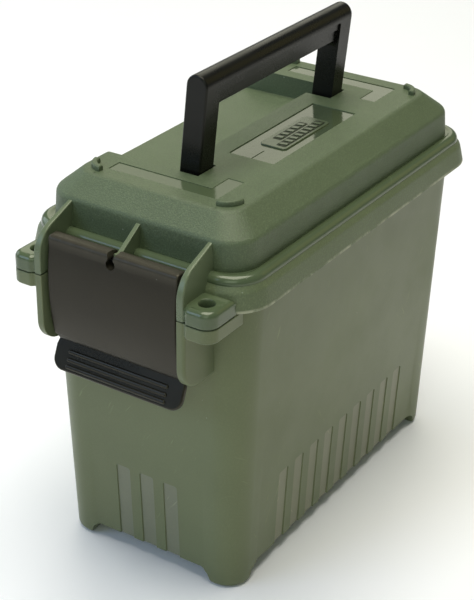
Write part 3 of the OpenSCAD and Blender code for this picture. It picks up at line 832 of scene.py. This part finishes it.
# ---------------------------------------------------------------- handle
def make_handle():
    """Two legs that hang from their pivots, joined by the grip. Modelled upright about the pivots."""
    length, height, thick, leg, grip = 132.8, 54.6, 11.8, 11.2, 16.6
    half, under = length / 2 - leg, height - grip
    arch = arc(0, 0, thick / 2, 180, 360, 14) + arc(0, height - thick / 2, thick / 2, 0, 180, 18)
    bar = prism(on_y, arch, -length / 2, length / 2, 1.1, steps=4)
    window = filleted([(-half, -40), (half, -40), (half, under - 3.2), (half - 3.2, under),
                       (-half + 3.2, under), (-half, under - 3.2)], [0, 0, 2.5, 2.5, 2.5, 2.5], 5, True)
    bar = minus(bar, prism(on_x, window, -30, 30, 0))
    # the grip's lower half stands in from the legs in two shallow steps along each side
    for s in (-1, 1):
        for depth, top in ((1.0, height - 6.8), (1.9, height - 10.6)):
            x0, x1 = sorted((s * (thick / 2 - depth), s * 30))
            bar = minus(bar, prism(on_x, arched(half - 0.05, under - 6, top, 1.5), x0, x1, 0))
    soften(bar, 0.55, lambda m: m.z > -5, 28, 3)
    lean = Matrix.Translation((PIVOT[0], 0, PIVOT[1])) @ Matrix.Rotation(LEAN, 4, "Y")
    piece("handle_visual", bar, "handle", ["carry_handle"], [handle_black], rest=lean)


# ---------------------------------------------------------------- latch
def latch_panel():
    """The bowed panel and the roll around its pin, with a keyhole for the rib and room for the hook."""
    bow, mid = 125, PART - 5.2
    cx = FRONT - 13.3 + bow

    def angle(z):
        return 180 - math.degrees(math.asin((z - mid) / bow))

    outer = arc(cx, mid, bow, angle(LATCH_LOW), angle(LATCH_Z - 1.0), 18)
    roll = filleted([outer[-1], (FRONT - 11.6, LATCH_Z + ROLL), (LATCH_Y, LATCH_Z + ROLL)], [0, 4.4, 0], 12)
    roll = roll[1:-1] + arc(LATCH_Y, LATCH_Z, ROLL, 80, -112, 20)
    inner = arc(cx, mid, bow - 3, angle(LATCH_Z - 5.2), angle(LATCH_LOW), 16)
    panel = prism(on_x, outer + roll + inner, -35.9, 36.9, 0.8, steps=3, hold=0.5)
    soften(panel, 0.6, lambda m: m.z < LATCH_LOW + 0.6, 40, 3)

    z = LATCH_Z - 0.5                                    # middle of the keyhole's round part
    left = [(-2.6, z + 12), (-2.3, z + 5.2),
            *filleted([(-2.2, z + 4.4), (-1.5, z + 3.2), (-1.5, z + 2.0)], 0.6, 3)]
    key = left + arc(0, z, 2.5, 127, 413, 22) + [(-x, v) for x, v in reversed(left)]
    panel = minus(panel, prism(on_y, key, LATCH_Y - 9, LATCH_Y + 0.2, 0))
    panel = minus(panel, box_bm(-1.9, 1.9, LATCH_Y, LATCH_Y + 9, LATCH_Z - 9, LATCH_Z + 9))
    return soften(panel, 0.35, lambda m: abs(m.x) < 3 and m.y < LATCH_Y + 0.05, 35, 2)


def latch_hook():
    """The lip along the panel's lower end that snaps over the catch bar."""
    low = LATCH_LOW
    side = [(FRONT - 9.5, low), (FRONT - 9, low + 5), (FRONT - 5, low + 0.5), (FRONT - 1.5, low + 0.5),
            (FRONT - 2.2, low - 3), (FRONT - 8, low - 3)]
    return prism(on_x, filleted(side, [0, 0, 2, 0.6, 0.8, 0], 3, True), -35, 36, 0.5)


def on_tab(u, v, t):
    """u across the finger tab, v down its slope, t back through its thickness."""
    head = Vector((0, FRONT - 5, LATCH_LOW + 0.4))
    down = Vector((0, -8, -18.3)).normalized()
    back = Vector((0, 18.3, -8)).normalized()
    return tuple(head + Vector((1, 0, 0)) * u + down * v + back * t)


def finger_tab():
    """The tab with three ribs across."""
    slab = filleted([(-34.2, -1), (-36.8, 7.5), (-36.9, 19.7), (38, 19.7), (37.9, 7.5), (35.4, -1)],
                    [0, 3, 6, 6, 3, 0], 8, True)
    parts = [prism(on_tab, slab, 0, 2.5, 1.0, 0.8, steps=4)]
    left, right, half = -28.8, 29.5, 1.2
    for v in (9.6, 13.5, 16.9):
        rib = [(left, v - half), (right, v - half), (right, v + half), (left, v + half)]
        parts.append(prism(on_tab, filleted(rib, 1.1, 4, True), -0.75, 0.6, 0.95, 0, steps=4))
    return merged(*parts)


def latch_material(c, n, given):
    """1 on the tab, 0 on the panel."""
    return 1 if c.z < LATCH_LOW - 1.0 else 0


def make_latch():
    whole = merged(latch_panel(), latch_hook(), finger_tab())
    piece("latch_visual", whole, "latch", ["latch"], [latch_black, tab_black],
          latch_material)


make_tub()
make_lid()
make_badge()
make_handle()
make_latch()

# the seal and the pins keep the meshes of the CAD
CAD_MATERIALS = {"lid_seal": rubber, "handle_pin_front": pin_steel, "handle_pin_rear": pin_steel,
                 "latch_pin": pin_dark, "hinge_pin_left": pin_steel, "hinge_pin_right": pin_steel}
for name, material in CAD_MATERIALS.items():
    for material_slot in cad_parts[name].material_slots:
        material_slot.material = material


# ---------------------------------------------------------------- floor, light and camera
def pale_floor():
    n = Nodes("floor_pale")
    pale = n.mix(n.band(n.noise(3, 2), 0.3, 0.7), (0.955, 0.945, 0.965), (0.98, 0.97, 0.99))
    n.link(pale, n.bsdf.inputs["Base Color"])
    n.bsdf.inputs["Roughness"].default_value = 0.6
    bm = bmesh.new()
    bmesh.ops.create_grid(bm, x_segments=1, y_segments=1, size=6)
    floor = mesh_object("floor", bm)
    floor.data.materials.append(n.material)


def softbox(name, place, aim, size, power, colour):
    """A rectangular lamp at the place that shines towards aim, all in metres and watts."""
    data = bpy.data.lights.new(name, "AREA")
    data.shape = "RECTANGLE"
    data.size, data.size_y = size
    data.energy, data.color = power, colour
    lamp = placed(name, data)
    lamp.location = place
    lamp.rotation_mode = "QUATERNION"
    lamp.rotation_quaternion = (Vector(aim) - Vector(place)).to_track_quat("-Z", "Y")


def main_camera(place, azimuth, elevation, roll, lens, shift_y):
    """A camera that looks azimuth degrees from +Y towards +X and elevation degrees up."""
    turn, rise, tilt = math.radians(azimuth), math.radians(elevation), math.radians(roll)
    look = Vector((math.sin(turn) * math.cos(rise), math.cos(turn) * math.cos(rise), math.sin(rise)))
    level = Vector((math.cos(turn), -math.sin(turn), 0))
    above = level.cross(look)
    right = level * math.cos(tilt) + above * math.sin(tilt)
    up = above * math.cos(tilt) - level * math.sin(tilt)
    camera = placed("camera", bpy.data.cameras.new("camera"))
    camera.data.sensor_width = 36
    camera.data.lens = lens
    camera.data.shift_y = shift_y
    camera.matrix_world = Matrix((*zip(right, up, -look, place), (0, 0, 0, 1)))
    bpy.context.scene.camera = camera


pale_floor()
centre = (cad_lo + cad_hi) / 2
softbox("top", (0, 0, 2.2), centre, (1.6, 1.6), 46, (1.0, 0.985, 0.895))
softbox("left", (-2.0, 0.0, 0.9), centre, (1.4, 1.2), 9.2, (0.78, 0.90, 1.0))
softbox("front_left", (-1.2, -1.9, 1.3), centre, (1.3, 1.2), 14.0, (0.44, 0.60, 1.0))
softbox("front_right", (0.9, -1.9, 1.3), centre, (1.3, 1.2), 8.4, (0.80, 0.94, 0.78))
softbox("back_left", (-1.1, 1.7, 1.25), centre, (1.5, 1.2), 8.2, (1.0, 0.98, 0.80))
softbox("back_right", (1.2, 1.8, 1.1), centre, (1.4, 1.2), 1.8, (1.0, 0.85, 0.25))
world = bpy.data.worlds.new("studio")
world.use_nodes = True
background = world.node_tree.nodes["Background"]
background.inputs["Color"].default_value = (0.78, 0.90, 1.0, 1)
background.inputs["Strength"].default_value = 0.12
bpy.context.scene.world = world
bpy.context.scene.view_settings.view_transform = "Standard"
main_camera((0.3912, -0.6196, 0.5038), -33.06, -28.33, 0.62, lens=94.67, shift_y=-0.0049)

bpy.context.view_layer.update()
